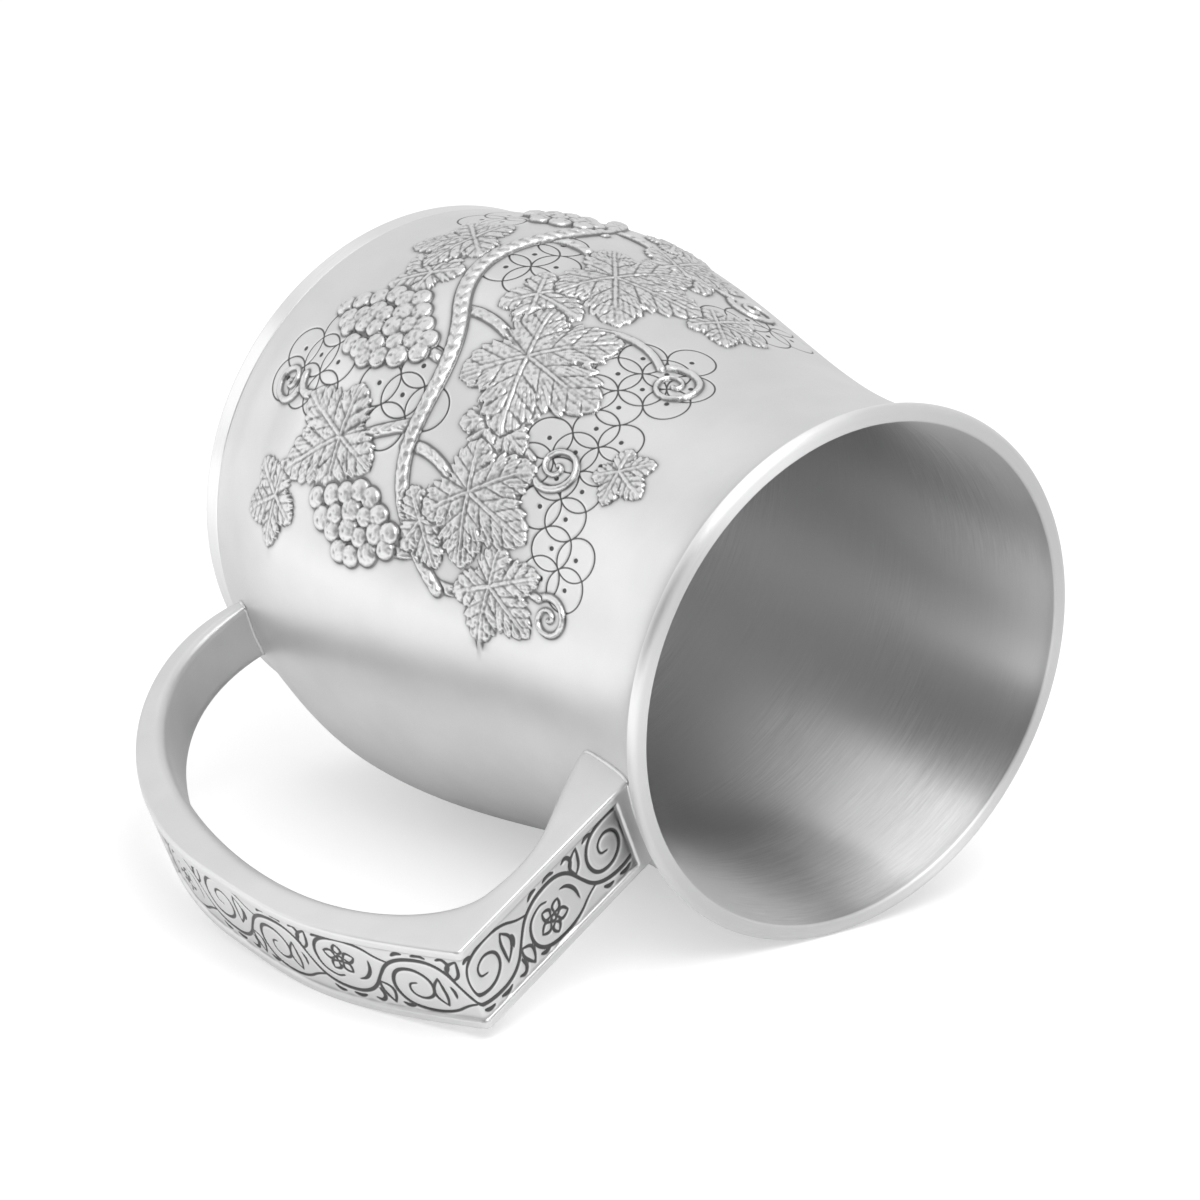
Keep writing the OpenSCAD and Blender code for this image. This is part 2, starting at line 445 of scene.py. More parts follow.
def leaf(middle, turn, size, curl):
    """A vine leaf of five toothed lobes, with ribs, side veins and fine pleats between them."""
    part = patch([middle], size + leaf_room)
    x = across[part] - middle[0]
    y = up[part] - middle[1]
    inside = np.full(x.shape, -far_off)
    height = np.zeros(x.shape)
    dark = np.zeros(x.shape)
    vein_gap = vein_share * size
    from_base = np.hypot(x, y)
    fan = np.arctan2(y, x)
    pleat_room = np.clip((2 * pi * from_base / pleats - pleat_least) / pleat_ease, 0, 1)
    pleat_sway = 2.2 * np.sin(5 * fan + turn) + 1.4 * np.sin(from_base * 0.7)
    pleat = np.cos(pleats * fan + pleat_sway) * pleat_room
    for lobe_turn, lobe_length, lobe_width in lobes:
        angle = radians(turn + lobe_turn)
        length = lobe_length * size
        full = lobe_width * size
        run = x * cos(angle) + y * sin(angle)
        aside = y * cos(angle) - x * sin(angle)
        share = np.clip(run / length, 0, 1)
        bow = 2.25 * (share + 0.04) ** 0.62 * (1 - share) ** 0.72
        teeth = 1 + tooth_depth * ((share * lobe_teeth) % 1 - 0.5) * np.clip(share * 4 - 0.6, 0, 1)
        past_end = np.maximum(-run, run - length)
        edge = np.where(past_end < 0, full * bow * teeth - abs(aside), -np.hypot(aside, past_end))
        swell = 1 - (1 - np.clip(edge / full, 0, 1)) ** 2.4
        rib_fade = (1 - share) ** 0.4
        off_vein = ((run - vein_slope * abs(aside)) / vein_gap + 0.5) % 1 - 0.5
        side_vein = ridge(off_vein * vein_gap, vein_width) * np.clip(abs(aside) / 0.9, 0, 1)
        rise = leaf_lift + leaf_swell * swell + curl * aside / full + pleat_rise * pleat
        rise -= groove_depth * ridge(aside, groove_width) * rib_fade
        rise += rib_rise * ridge(aside, rib_width) * rib_fade
        rise += leaf_edge_rise * ridge(edge - leaf_edge_in, leaf_edge_width)
        rise -= vein_depth * side_vein
        # Painted shade with patina: dark in the grooves beside the rib, in the side veins and in the
        # valleys of the pleats.
        shade = groove_dark * ridge(abs(aside) - groove_out, groove_line) * rib_fade
        shade = np.maximum(shade, vein_dark * side_vein)
        shade = np.maximum(shade, pleat_dark * np.clip(-pleat, 0, 1) ** 2)
        better = edge > inside
        height = np.where(better, rise, height)
        dark = np.where(better, shade, dark)
        inside = np.where(better, edge, inside)
    lay(part, inside, height, dark, leaf_moat)


berry_r = 1.75
berry_pitch = 1.72 * berry_r
berry_row = 0.86 * berry_pitch
berry_shift = 0.22 * berry_r
berry_sway = 0.2 * berry_r
berry_growth = 0.08
berry_lift = 0.22
berry_step = 0.08
berry_rise = 0.6
berry_gap = 0.26
berry_gap_dark = 0.85
dimple_r = 0.3
dimple_depth = 0.14
dimple_dark = 0.6
bunch_room = 28
bunch_fall = 0.06
bunch_moat = 0.8


def bunch(top, turn, rows):
    """A bunch of grapes that hangs from a point, with a number of berries in each row."""
    part = patch([top], bunch_room)
    x = across[part] - top[0]
    y = up[part] - top[1]
    inside = np.full(x.shape, -far_off)
    height = np.zeros(x.shape)
    dark = np.zeros(x.shape)
    angle = radians(turn)
    for row, count in enumerate(rows):
        for place in range(count):
            run = row * berry_row + berry_shift * sin(7.3 * row + 4.1 * place)
            aside = (place - (count - 1) / 2) * berry_pitch
            lift = berry_lift + berry_step * (1 + sin(11.3 * row + 6.1 * place))
            lift -= bunch_fall * abs(aside) / berry_pitch
            aside += berry_sway * cos(5.7 * row + 9.2 * place)
            from_x = x - run * cos(angle) + aside * sin(angle)
            from_y = y - run * sin(angle) - aside * cos(angle)
            radius = berry_r * (1 + berry_growth * sin(3.1 * row + 5.3 * place))
            far = np.hypot(from_x, from_y)
            dome = np.sqrt(np.clip(1 - (far / radius) ** 2, 0, 1))
            dimple = ridge(np.hypot(from_x - 0.4, from_y + 0.5), dimple_r)
            bump = np.where(far < radius + edge_soft, lift + berry_rise * dome - dimple_depth * dimple, 0)
            # Painted shade with patina: dark in the gaps round each berry and in its dimple.
            shade = np.maximum(berry_gap_dark * ridge(far - radius, berry_gap), dimple_dark * dimple)
            better = bump > height
            height = np.where(better, bump, height)
            dark = np.where(better, shade, dark)
            inside = np.maximum(inside, radius - far)
    lay(part, inside, height, dark, bunch_moat)


# The spray, listed motif by motif. A stalk has the four points of its curve. A tendril has its
# middle, where it begins, its radius and its winds. A leaf has its middle, turn, size and curl.
main_stem = np.vstack([
    curve((-42, 21), (-27, 43), (-15, 22), (0, 38), 44),
    curve((0, 38), (13, 52), (24, 38), (40, 60), 44)[1:],
])
leaf_stalks = (
    ((-34, 31), (-36, 35), (-36, 38), (-35, 41)), ((-21, 33), (-24, 38), (-22, 42), (-21, 46)),
    ((-13, 29), (-12, 27), (-12, 25), (-13, 23)), ((0, 38), (-2, 42), (-1, 48), (1, 52)),
    ((8, 44), (8.5, 42), (8, 40), (8, 38)), ((19, 45), (22, 40), (24, 37), (25, 35)),
    ((22, 46), (20, 51), (23, 55), (24, 58)), ((36, 54), (37, 52), (37, 51), (37, 49)),
    ((39, 59), (40, 62), (38, 66), (37, 68)), ((-30, 33), (-30, 31), (-30, 29), (-30, 28)),
)
tendrils = (
    ((-41, 58), 300, 4.0, 1.6), ((-9, 75), 250, 4.6, -1.7), ((14, 71), 280, 4.4, 1.7),
    ((37, 81), 230, 3.6, -1.6), ((21, 16), 120, 3.6, -1.6),
)
tendril_stalks = (
    ((-40, 44), (-39, 48), (-37, 51), (-38.9, 54.6)), ((-10, 58), (-14, 64), (-12, 68), (-10.6, 70.6)),
    ((12, 54), (14, 58), (13, 62), (14.8, 66.6)), ((33, 70), (35, 72), (34, 75), (34.6, 78.2)),
    ((20, 26), (23, 22), (22, 20), (19.2, 19.1)),
)
leaves = (
    ((-28, 64), 120, 8.5, 0.12), ((10, 81), 70, 7, 0.12), ((-42, 35), 170, 7.5, 0.12),
    ((-9, 45), 95, 9, -0.12), ((12, 57), 70, 8.5, 0.12), ((31, 54), 100, 8.5, 0.12),
    ((-3, 27), -110, 8, 0.12), ((37, 24), -60, 8.5, 0.12), ((-35, 45), 140, 11, 0.12),
    ((-13, 24), -60, 10.5, 0.12), ((25, 34), -50, 12.5, 0.12), ((36, 69), 60, 10.5, -0.12),
    ((-21, 48), 112, 15, 0.12), ((24, 60), 75, 13, 0.12), ((1, 54), 84, 16, -0.12),
)
bunches = (
    ((8, 38), -92, (2, 3, 4, 5, 4, 4, 3, 2, 1)), ((-30, 29), -88, (2, 3, 4, 3, 2, 1)),
    ((36, 49), -95, (2, 3, 4, 4, 3, 2, 1)),
)
for one_tendril in tendrils:
    stem(tendril(*one_tendril), begin_half=0.65, rise=0.42, thin_end=0.4, moat=0.3)
for stalk in tendril_stalks:
    stem(curve(*stalk, 20), begin_half=0.65, rise=0.42, thin_end=1, moat=0.3)
for stalk in leaf_stalks:
    stem(curve(*stalk, 20), begin_half=0.95, rise=0.5, thin_end=0.8, moat=0.7)
stem(main_stem, begin_half=1.6, rise=0.62, thin_end=0.6, moat=0.8)
for one_leaf in leaves:
    leaf(*one_leaf)
for one_bunch in bunches:
    bunch(*one_bunch)


def spread(field, passes):
    """Each value shared with its neighbours, again and again."""
    for _ in range(passes):
        padded = np.pad(field, 1, mode="edge")
        field = (padded[:-2, 1:-1] + padded[2:, 1:-1] + padded[1:-1, :-2] + padded[1:-1, 2:] + field) / 5
    return field


# The cast skin of the motifs is finely stippled, and its pits are coloured darker: patina, partly painted
# shade.
stipple_rise = 0.3
stipple_dark = 0.2
stipple_spread = 2.2
stipple_darkest = 0.5
stipple = spread(np.random.default_rng(7).random(across.shape), 2) - 0.5
relief += stipple_rise * stipple * covered
patina_and_shade = np.maximum(patina_and_shade, covered * np.clip(stipple_dark - stipple_spread * stipple, 0, stipple_darkest))

# The ground of rings: circles that overlap so that each is cut into four petals, engraved
# only in a few fields between the leaves. A field has its middle and its two half widths.
ring_r = 3.7
ring_pitch = ring_r * sqrt(2)
ring_low = 4
ring_line = 0.13
ring_dot = 0.4
ring_depth = 0.13
ring_slope = 0.4
bare_ground = 0.04
no_cut = 9.0
ring_fields = (
    ((13, 73), 10, 9), ((-7, 71), 9, 9), ((-36, 64), 8, 7), ((-14, 37), 8, 6),
    ((15, 40), 7, 6), ((29, 78), 7, 5), ((18, 20), 8, 6), ((-22, 17), 7, 5),
)
engraved = np.full(across.shape, no_cut)
for i in range(-8, 9):
    for j in range(18):
        x = i * ring_pitch
        y = j * ring_pitch + ring_low
        if any(((x - mid[0]) / a) ** 2 + ((y - mid[1]) / b) ** 2 < 1 for mid, a, b in ring_fields):
            part = patch([(x, y)], ring_r + 1)
            far = np.hypot(across[part] - x, up[part] - y)
            engraved[part] = np.minimum(engraved[part], abs(far - ring_r) - ring_line)
            engraved[part] = np.minimum(engraved[part], far - ring_dot)
engraved = np.where(relief > bare_ground, no_cut, engraved)
relief -= ring_depth * smooth(0.5 - engraved / ring_slope)
# Painted shade with patina: the hollow mark is high wherever the relief lies below its blurred
# surroundings, with the dark field above added in.
patina_and_shade_weight = 0.2
hollow = spread(relief, 16) - relief + patina_and_shade_weight * patina_and_shade

# The flank is let in a little where the spray lies, so the highest leaves and grapes end
# up level with the belly.
ground_sink = 0.6
fade_side = 12
fade_low = 9
fade_high = 16
fade = smooth((relief_half * relief_r - abs(across)) / fade_side)
fade = fade * smooth((up - relief_low) / fade_low) * smooth((neck_z - up) / fade_high)
relief -= ground_sink * fade


def outward(line, closed):
    """Unit vectors that point to the right of each step of a line."""
    if closed:
        ahead = np.roll(line, -1, axis=0) - np.roll(line, 1, axis=0)
    else:
        ahead = np.gradient(line, axis=0)
    ahead = ahead / np.linalg.norm(ahead, axis=1)[:, None]
    return np.c_[ahead[:, 1], -ahead[:, 0]]


def grid_piece(name, points, wrap_rows, wrap_columns, marks):
    """A mesh over rows and columns of points, in millimetres, with marks on its points."""
    rows, columns = points.shape[:2]
    row = np.arange(rows if wrap_rows else rows - 1)
    column = np.arange(columns if wrap_columns else columns - 1)
    i, j = [a.ravel() for a in np.meshgrid(row, column, indexing="ij")]
    next_i = (i + 1) % rows
    next_j = (j + 1) % columns
    corners = np.stack([
        i * columns + j, i * columns + next_j, next_i * columns + next_j, next_i * columns + j
    ], axis=1)
    mesh = bpy.data.meshes.new(name)
    mesh.from_pydata(points.reshape(-1, 3) * MM, [], corners.tolist())
    sheet = np.stack([
        np.stack([j, i], 1), np.stack([j + 1, i], 1), np.stack([j + 1, i + 1], 1), np.stack([j, i + 1], 1)
    ], axis=1) / (len(column), len(row))
    mesh.uv_layers.new(name="OFBake").data.foreach_set("uv", sheet.astype(np.float32).ravel())
    for mark, values in marks.items():
        kind = "FLOAT_VECTOR" if values.ndim == 3 else "FLOAT"
        field = "vector" if values.ndim == 3 else "value"
        layer = mesh.attributes.new(mark, kind, "POINT")
        layer.data.foreach_set(field, values.astype(np.float32).ravel())
    mesh.shade_smooth()
    piece = bpy.data.objects.new(name, mesh)
    scene.collection.objects.link(piece)
    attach(piece, "root")
    return piece


def turned_points(line, angles, lift=0.0):
    """Points of a line swung round the axis, lifted off along its outward side."""
    away = outward(line, closed=True)
    radius = line[:, :1] + lift * away[:, :1]
    height = line[:, 1:] + lift * away[:, 1:]
    return np.stack([radius * np.cos(angles), radius * np.sin(angles), height + 0 * angles], axis=2)


def run_of(line):
    """Length of a line up to each of its points."""
    return np.r_[0, np.cumsum(np.linalg.norm(np.diff(line, axis=0), axis=1))]


def turned_marks(line, angles):
    """Where each point lies along the line, in millimetres, and round the axis."""
    run = run_of(line)
    return np.stack([
        run[:, None] + 0 * angles, np.cos(angles) + 0 * run[:, None], np.sin(angles) + 0 * run[:, None]
    ], axis=2)


body_shape = (len(profile), len(turns))
body_lift = np.zeros(body_shape)
body_lift[relief_rows, relief_columns] = relief
body_engraved = np.full(body_shape, no_cut)
body_engraved[relief_rows, relief_columns] = engraved
body_hollow = np.zeros(body_shape)
body_hollow[relief_rows, relief_columns] = hollow
body_points = turned_points(profile, turns, body_lift)
# No leaf or grape stands past the belly, which is the CAD model's own limit on that side.
flank_y = cad_box[0].y / MM
body_points[..., 1] = np.maximum(body_points[..., 1], flank_y)
body = grid_piece("cast_body", body_points, True, True, {
    "engraved": body_engraved, "hollow": body_hollow, "brush": turned_marks(profile, turns),
})
face_rows = np.repeat(np.arange(len(profile)), len(turns))
on_lip = (face_rows >= first_lip).astype(np.int32)
on_lining = (face_rows >= first_lining - mouth_rows).astype(np.int32)
body.data.polygons.foreach_set("material_index", on_lip + on_lining)
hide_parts("body")


def mix_colour(tree, share, under, over):
    """One colour over another by a share."""
    made = put(tree, "ShaderNodeMix", {"data_type": "RGBA"})
    for place, value in ((0, share), (6, under), (7, over)):
        feed(tree, made.inputs[place], value)
    return made.outputs[2]


def mark(tree, name, output="Fac"):
    """Reads a mark that was left on the points of a mesh."""
    return put(tree, "ShaderNodeAttribute", {"attribute_name": name}).outputs[output]


def new_metal(name):
    """An empty metal finish, with its tree, its shader and the place on the piece."""
    metal = bpy.data.materials.new(name)
    metal.use_nodes = True
    tree = metal.node_tree
    tree.nodes.clear()
    shader = put(tree, "ShaderNodeBsdfPrincipled", Metallic=1.0)
    put(tree, "ShaderNodeOutputMaterial", Surface=shader.outputs[0])
    place = put(tree, "ShaderNodeTexCoord").outputs["Object"]
    return metal, tree, shader, place


pewter_light = (0.74, 0.74, 0.74, 1)
pewter_dull = (0.70, 0.70, 0.702, 1)
patina_and_shade_colour = (0.055, 0.055, 0.055, 1)
cast_rough = (0.34, 0.44)
cast_pewter, tree, shader, place = new_metal("satin cast pewter")
cloud = put(tree, "ShaderNodeTexNoise", Vector=place, Scale=90.0, Detail=4.0).outputs["Fac"]
grain = put(tree, "ShaderNodeTexNoise", Vector=place, Scale=5200.0, Detail=2.0).outputs["Fac"]
colour = mix_colour(tree, grade(tree, cloud, 0.35, 0.65, 0, 1), pewter_dull, pewter_light)
# The hollow mark colours the pewter darker: patina, and painted shade in the creases of the relief and the
# panel.
sunk = grade(tree, mark(tree, "hollow"), 0.0, 0.2, 0, 0.75)
colour = mix_colour(tree, sunk, colour, patina_and_shade_colour)
cut = grade(tree, mark(tree, "engraved"), -0.05, 0.06, 0.9, 0)
colour = mix_colour(tree, cut, colour, patina_and_shade_colour)
tree.links.new(colour, shader.inputs["Base Color"])
tree.links.new(grade(tree, grain, 0.3, 0.7, *cast_rough), shader.inputs["Roughness"])
grain_bump = put(tree, "ShaderNodeBump", Height=grain, Strength=0.15, Distance=0.00003)
tree.links.new(grain_bump.outputs[0], shader.inputs["Normal"])
body.data.materials.append(cast_pewter)

streaks_along = 2.2
streaks_round = 5.0
turned_round = 0.25


def turned_metal(name, dull, light, rough, stretch):
    """Metal with fine marks left round the axis by a turning tool and a brush."""
    metal, tree, shader, place = new_metal(name)
    shader.inputs["Anisotropic"].default_value = stretch
    shader.inputs["Anisotropic Rotation"].default_value = turned_round
    streak_scale = put(tree, "ShaderNodeVectorMath", {"operation": "MULTIPLY"})
    tree.links.new(mark(tree, "brush", "Vector"), streak_scale.inputs[0])
    streak_scale.inputs[1].default_value = (streaks_along, streaks_round, streaks_round)
    streaks = put(
        tree, "ShaderNodeTexNoise", Vector=streak_scale.outputs[0], Scale=1.0, Detail=7.0, Roughness=0.75
    ).outputs["Fac"]
    patches = put(tree, "ShaderNodeTexNoise", Vector=place, Scale=45.0, Detail=2.0).outputs["Fac"]
    marked = grade(tree, patches, 0.45, 0.62, 0.15, 1)
    streaks = sums(tree, "MULTIPLY", sums(tree, "SUBTRACT", streaks, 0.5), marked)
    colour = mix_colour(tree, grade(tree, streaks, -0.15, 0.15, 0, 1), dull, light)
    tree.links.new(colour, shader.inputs["Base Color"])
    tree.links.new(grade(tree, streaks, -0.2, 0.2, *rough), shader.inputs["Roughness"])
    round_axis = put(tree, "ShaderNodeTangent", {"direction_type": "RADIAL", "axis": "Z"})
    tree.links.new(round_axis.outputs[0], shader.inputs["Tangent"])
    streak_bump = put(tree, "ShaderNodeBump", Height=streaks, Strength=0.35, Distance=0.00006)
    tree.links.new(streak_bump.outputs[0], shader.inputs["Normal"])
    return metal


# The lip's pewter is lighter than the body's: painted light that brightens the lip.
lip_dull = (0.83, 0.83, 0.832, 1)
lip_light = (0.89, 0.89, 0.89, 1)
lining_dull = (0.70, 0.70, 0.702, 1)
lining_light = (0.84, 0.84, 0.84, 1)
brushed_lip = turned_metal("brushed lip", lip_dull, lip_light, rough=(0.46, 0.54), stretch=0.9)
turned_lining = turned_metal("turned lining", lining_dull, lining_light, rough=(0.38, 0.46), stretch=1.0)
body.data.materials.append(brushed_lip)
body.data.materials.append(turned_lining)

# Base plate: a turned pewter disc with a plain band that shows below the body, a spigot
# inside it, and a standing ring round a shallow hollow underneath. The spigot is soldered in.
floor_t = 2.6
hollow_h = 2.0
stand_w = 6.0
band_step = 0.2
spigot_gap = 0.3
band_round = 0.5
joint_round = 0.3
spigot_round = 0.3
# The base plate's pewter is lighter than the body's: a painted highlight on the band that shows below the
# body.
base_dull = (0.77, 0.77, 0.772, 1)
base_light = (0.85, 0.85, 0.85, 1)
floor_z = hollow_h + floor_t
band_r = foot_edge - band_step
spigot_r = foot_edge - wall - spigot_gap
stand_r = band_r - stand_w
base_turns = np.linspace(0, 2 * pi, 240, endpoint=False)
axis_hole = 0.005
near_axis = 0.015


def straight(begin, end, count):
    """Points between two points, without the first."""
    return np.linspace(begin, end, count + 1)[1:]


base_profile = np.vstack([
    [(axis_hole, hollow_h), (near_axis, hollow_h)],
    straight((near_axis, hollow_h), (stand_r - hollow_h, hollow_h), 60),
    straight((stand_r - hollow_h, hollow_h), (stand_r, 0), 8),
    straight((stand_r, 0), (band_r - band_round, 0), 10),
    arc((band_r - band_round, band_round), band_round, -pi / 2, 0, 7)[1:],
    straight((band_r, band_round), (band_r, band_h - joint_round), 8),
    arc((band_r - joint_round, band_h - joint_round), joint_round, 0, pi / 2, 5)[1:],
    straight((band_r - joint_round, band_h), (spigot_r, band_h), 2),
    straight((spigot_r, band_h), (spigot_r, floor_z - spigot_round), 2),
    arc((spigot_r - spigot_round, floor_z - spigot_round), spigot_round, 0, pi / 2, 5)[1:],
    straight((spigot_r - spigot_round, floor_z), (near_axis, floor_z), 70),
    [(axis_hole, floor_z)],
])
base_plate = grid_piece("turned_base", turned_points(base_profile, base_turns), True, True, {
    "brush": turned_marks(base_profile, base_turns),
})
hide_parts("base_plate")

turned_pewter = turned_metal("turned pewter", base_dull, base_light, rough=(0.28, 0.36), stretch=0.5)
base_plate.data.materials.append(turned_pewter)

# Base solder: the ring of solder that was run in between the spigot and the inside of the
# wall, dressed to a small hollow curve where the floor meets the wall.
run_in = 0.5
run_gap = 0.02
run_low = band_h + 0.05
run_high = floor_z + run_in
run_begin_r = spigot_r + run_gap
run_low_r = foot_edge - wall - run_gap
run_high_r = float(side_r(floor_z)) - wall - run_gap
base_run_profile = np.vstack([
    [(run_begin_r, run_low), (run_low_r, run_low)],
    straight((run_low_r, run_low), (run_high_r, run_high), 4),
    arc((run_high_r - run_in, run_high), run_in, 0, -pi / 2, 6)[1:],
])
base_run = grid_piece("base_solder_run", turned_points(base_run_profile, base_turns), True, True, {})
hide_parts("base_solder")

solder_dull = (0.66, 0.66, 0.665, 1)
solder_light = (0.74, 0.74, 0.74, 1)
solder_rough = (0.3, 0.4)
bright_solder, tree, shader, place = new_metal("bright solder")
ripple = put(tree, "ShaderNodeTexNoise", Vector=place, Scale=700.0, Detail=3.0).outputs["Fac"]
colour = mix_colour(tree, grade(tree, ripple, 0.35, 0.65, 0, 1), solder_dull, solder_light)
tree.links.new(colour, shader.inputs["Base Color"])
tree.links.new(grade(tree, ripple, 0.35, 0.65, *solder_rough), shader.inputs["Roughness"])
ripple_bump = put(tree, "ShaderNodeBump", Height=ripple, Strength=0.2, Distance=0.0001)
tree.links.new(ripple_bump.outputs[0], shader.inputs["Normal"])
base_run.data.materials.append(bright_solder)

# Handle: one pewter casting with a flared root, a straight top, a thumb corner above the
# lip and one long sweep to the belly. Its outer faces carry a sunk panel of engraved scrolls,
# and both its ends are soldered to the body.
reach = 84.0
handle_t = 5.1
handle_half = 14.2 / 2
tail_half = 9.5 / 2
border = 1.4
panel_depth = 0.45
film = 0.15
thumb = np.array((73.5, rim_h + 3.8))
root_top = np.array((38.0, rim_h - 3.6))
root_low = np.array((37.5, rim_h - 15.5))
root_slope = radians(29)
arch = np.array((63.0, rim_h - 3.6))
back_z = 0.575 * rim_h
inner_z = back_z + 8
tail_top = np.array((42.0, 11.7))
tail_low = np.array((42.0, 9.4))
thumb_lean = radians(24.4)
taper_z = 62.0
taper_ease = 12.0
taper_low = tail_low[1] - 2
inside_x = 30.0
thumb_round = 1.1
outer_round = 0.6
inner_round = 2.0
inner_round_share = 0.4
panel_begin_x = 40.5
panel_end_z = 43.0
station_step = 0.22

# How far each curve of the outline holds its direction at its two ends.
thumb_hold = 26.8
back_hold_up = 18.9
back_hold_down = 28.2
tail_low_hold = (19.5, -6.6)
root_hold = 14.8
arch_hold_in = 11.8
arch_hold_out = 6.5
inner_hold_up = 21.5
inner_hold_down = 22.0
tail_top_hold = (27.5, -1.5)

top_lean = (thumb - root_top) / np.linalg.norm(thumb - root_top)
sweep_lean = np.array((sin(thumb_lean), -cos(thumb_lean)))
half_bend = (np.arctan2(top_lean[1], top_lean[0]) - np.arctan2(sweep_lean[1], sweep_lean[0])) / 2
thumb_cut = thumb_round * tan(half_bend)
top_begin = root_top + top_lean * (inside_x - root_top[0]) / top_lean[0]
upper_sweep = curve(
    thumb, thumb + thumb_hold * sweep_lean, (reach, back_z + back_hold_up), (reach, back_z), 400
)
lower_sweep = curve(
    (reach, back_z), (reach, back_z - back_hold_down), tail_low + tail_low_hold, tail_low, 400
)
corner_from = thumb - thumb_cut * top_lean
corner_mid = corner_from + thumb_round * np.array((top_lean[1], -top_lean[0]))
corner_first = np.arctan2(*(corner_from - corner_mid)[::-1])
corner = arc(corner_mid, thumb_round, corner_first, corner_first - 2 * half_bend, 24)
past_corner = np.linalg.norm(upper_sweep - thumb, axis=1) > thumb_cut
outer_line = np.vstack([
    np.linspace(top_begin, corner_from, 200)[:-1], corner, upper_sweep[past_corner], lower_sweep[1:],
    [(inside_x, tail_low[1])],
])
inner_reach = reach - handle_t
inner_back = np.array((inner_reach, inner_z))
root_lean = np.array((cos(root_slope), sin(root_slope)))
inner_line = np.vstack([
    [(inside_x, root_low[1])],
    curve(root_low, root_low + root_hold * root_lean, arch - (arch_hold_in, 0), arch, 200),
    curve(arch, arch + (arch_hold_out, 0), inner_back + (0, inner_hold_up), inner_back, 300)[1:],
    curve(inner_back, inner_back - (0, inner_hold_down), tail_top + tail_top_hold, tail_top, 400)[1:],
    [(inside_x, tail_top[1])],
])


def along(line, runs):
    """Points of a line at given lengths."""
    before = run_of(line)
    return np.c_[np.interp(runs, before, line[:, 0]), np.interp(runs, before, line[:, 1])]


def run_near(line, point):
    """Length of a line up to its point nearest to a given one."""
    return run_of(line)[np.argmin(np.linalg.norm(line - point, axis=1))]


# Stations along the outer line, closer together round the thumb corner. Each is paired with a
# place on the inner line, and a few pairs of opposite points set how the two lines keep step.
corner_clear = 0.1
under_thumb = (69.5, 99.8)
opposite_back = (inner_reach, back_z + 1)
outer_runs = np.arange(0, run_of(outer_line)[-1], station_step)
corner_run = run_near(outer_line, corner[len(corner) // 2])
corner_runs = corner_run + np.linspace(-1, 1, 17) * thumb_cut
off_corner = abs(outer_runs - corner_run) > thumb_cut + corner_clear
outer_runs = np.sort(np.r_[outer_runs[off_corner], corner_runs])
pairs = (
    (outer_line[0], inner_line[0]), (root_top, root_low), (thumb, under_thumb),
    ((reach, back_z), opposite_back), (tail_low, tail_top), (outer_line[-1], inner_line[-1]),
)
inner_runs = np.interp(
    outer_runs, [run_near(outer_line, np.array(p[0])) for p in pairs],
    [run_near(inner_line, np.array(p[1])) for p in pairs]
)
outer_points = along(outer_line, outer_runs)
inner_points = along(inner_line, inner_runs)
outer_away = -outward(outer_points, closed=False)


def half_width(z):
    """Half of the handle's width at a height; the taper eases into the even width."""
    gain = (handle_half - tail_half) / (taper_z - taper_low)
    below = np.clip((taper_z + taper_ease - z) / (2 * taper_ease), 0, None)
    eased = np.where(below < 1, taper_ease * below**2, 2 * taper_ease * below - taper_ease)
    return handle_half - gain * eased


# The engraved scrolls, drawn flat on the panel: a length along the panel and a distance
# from its middle line, in millimetres. A stroke is thickest in its middle.
panel_from = run_near(outer_line, root_top + top_lean * (panel_begin_x - root_top[0]) / top_lean[0])
panel_to = run_near(outer_line, lower_sweep[np.argmin(abs(lower_sweep[:, 1] - panel_end_z))])
panel_count = 64
panel_share = np.linspace(-1, 1, panel_count)
station_half = half_width(outer_points[:, 1])
panel_half = station_half - border
panel_y = panel_half[:, None] * panel_share
panel_x = (outer_runs - panel_from)[:, None] + 0 * panel_y
panel_length = panel_to - panel_from
ink = np.full(panel_x.shape, -no_cut)


def flow(points):
    """A smooth line that follows a few points, with its corners cut again and again."""
    line = np.asarray(points, float)
    for _ in range(3):
        cut = np.stack([0.75 * line[:-1] + 0.25 * line[1:], 0.25 * line[:-1] + 0.75 * line[1:]], axis=1)
        line = np.vstack([line[:1], cut.reshape(-1, 2), line[-1:]])
    return line


def stroke(line, half, thin=0.45):
    """Cuts a line that swells in its middle and thins out towards both ends."""
    rows = (panel_x[:, 0] > line[:, 0].min() - 1) & (panel_x[:, 0] < line[:, 0].max() + 1)
    if rows.any():
        far, share, _ = nearest(line, panel_x[rows], panel_y[rows])
        swelling = half * (thin + (1 - thin) * np.sin(pi * share) ** 0.7)
        ink[rows] = np.maximum(ink[rows], swelling - far)


def pointed_leaf(begin, tip, fullness, bend, half):
    """Cuts the outline of a pointed leaf or petal that bends to one side."""
    ahead = tip - begin
    aside = np.array((-ahead[1], ahead[0]))
    for side in (-fullness, fullness):
        stroke(flow([
            begin, begin + 0.3 * ahead + (bend + side) * aside,
            begin + 0.65 * ahead + (bend + 0.8 * side) * aside, tip
        ]), half)


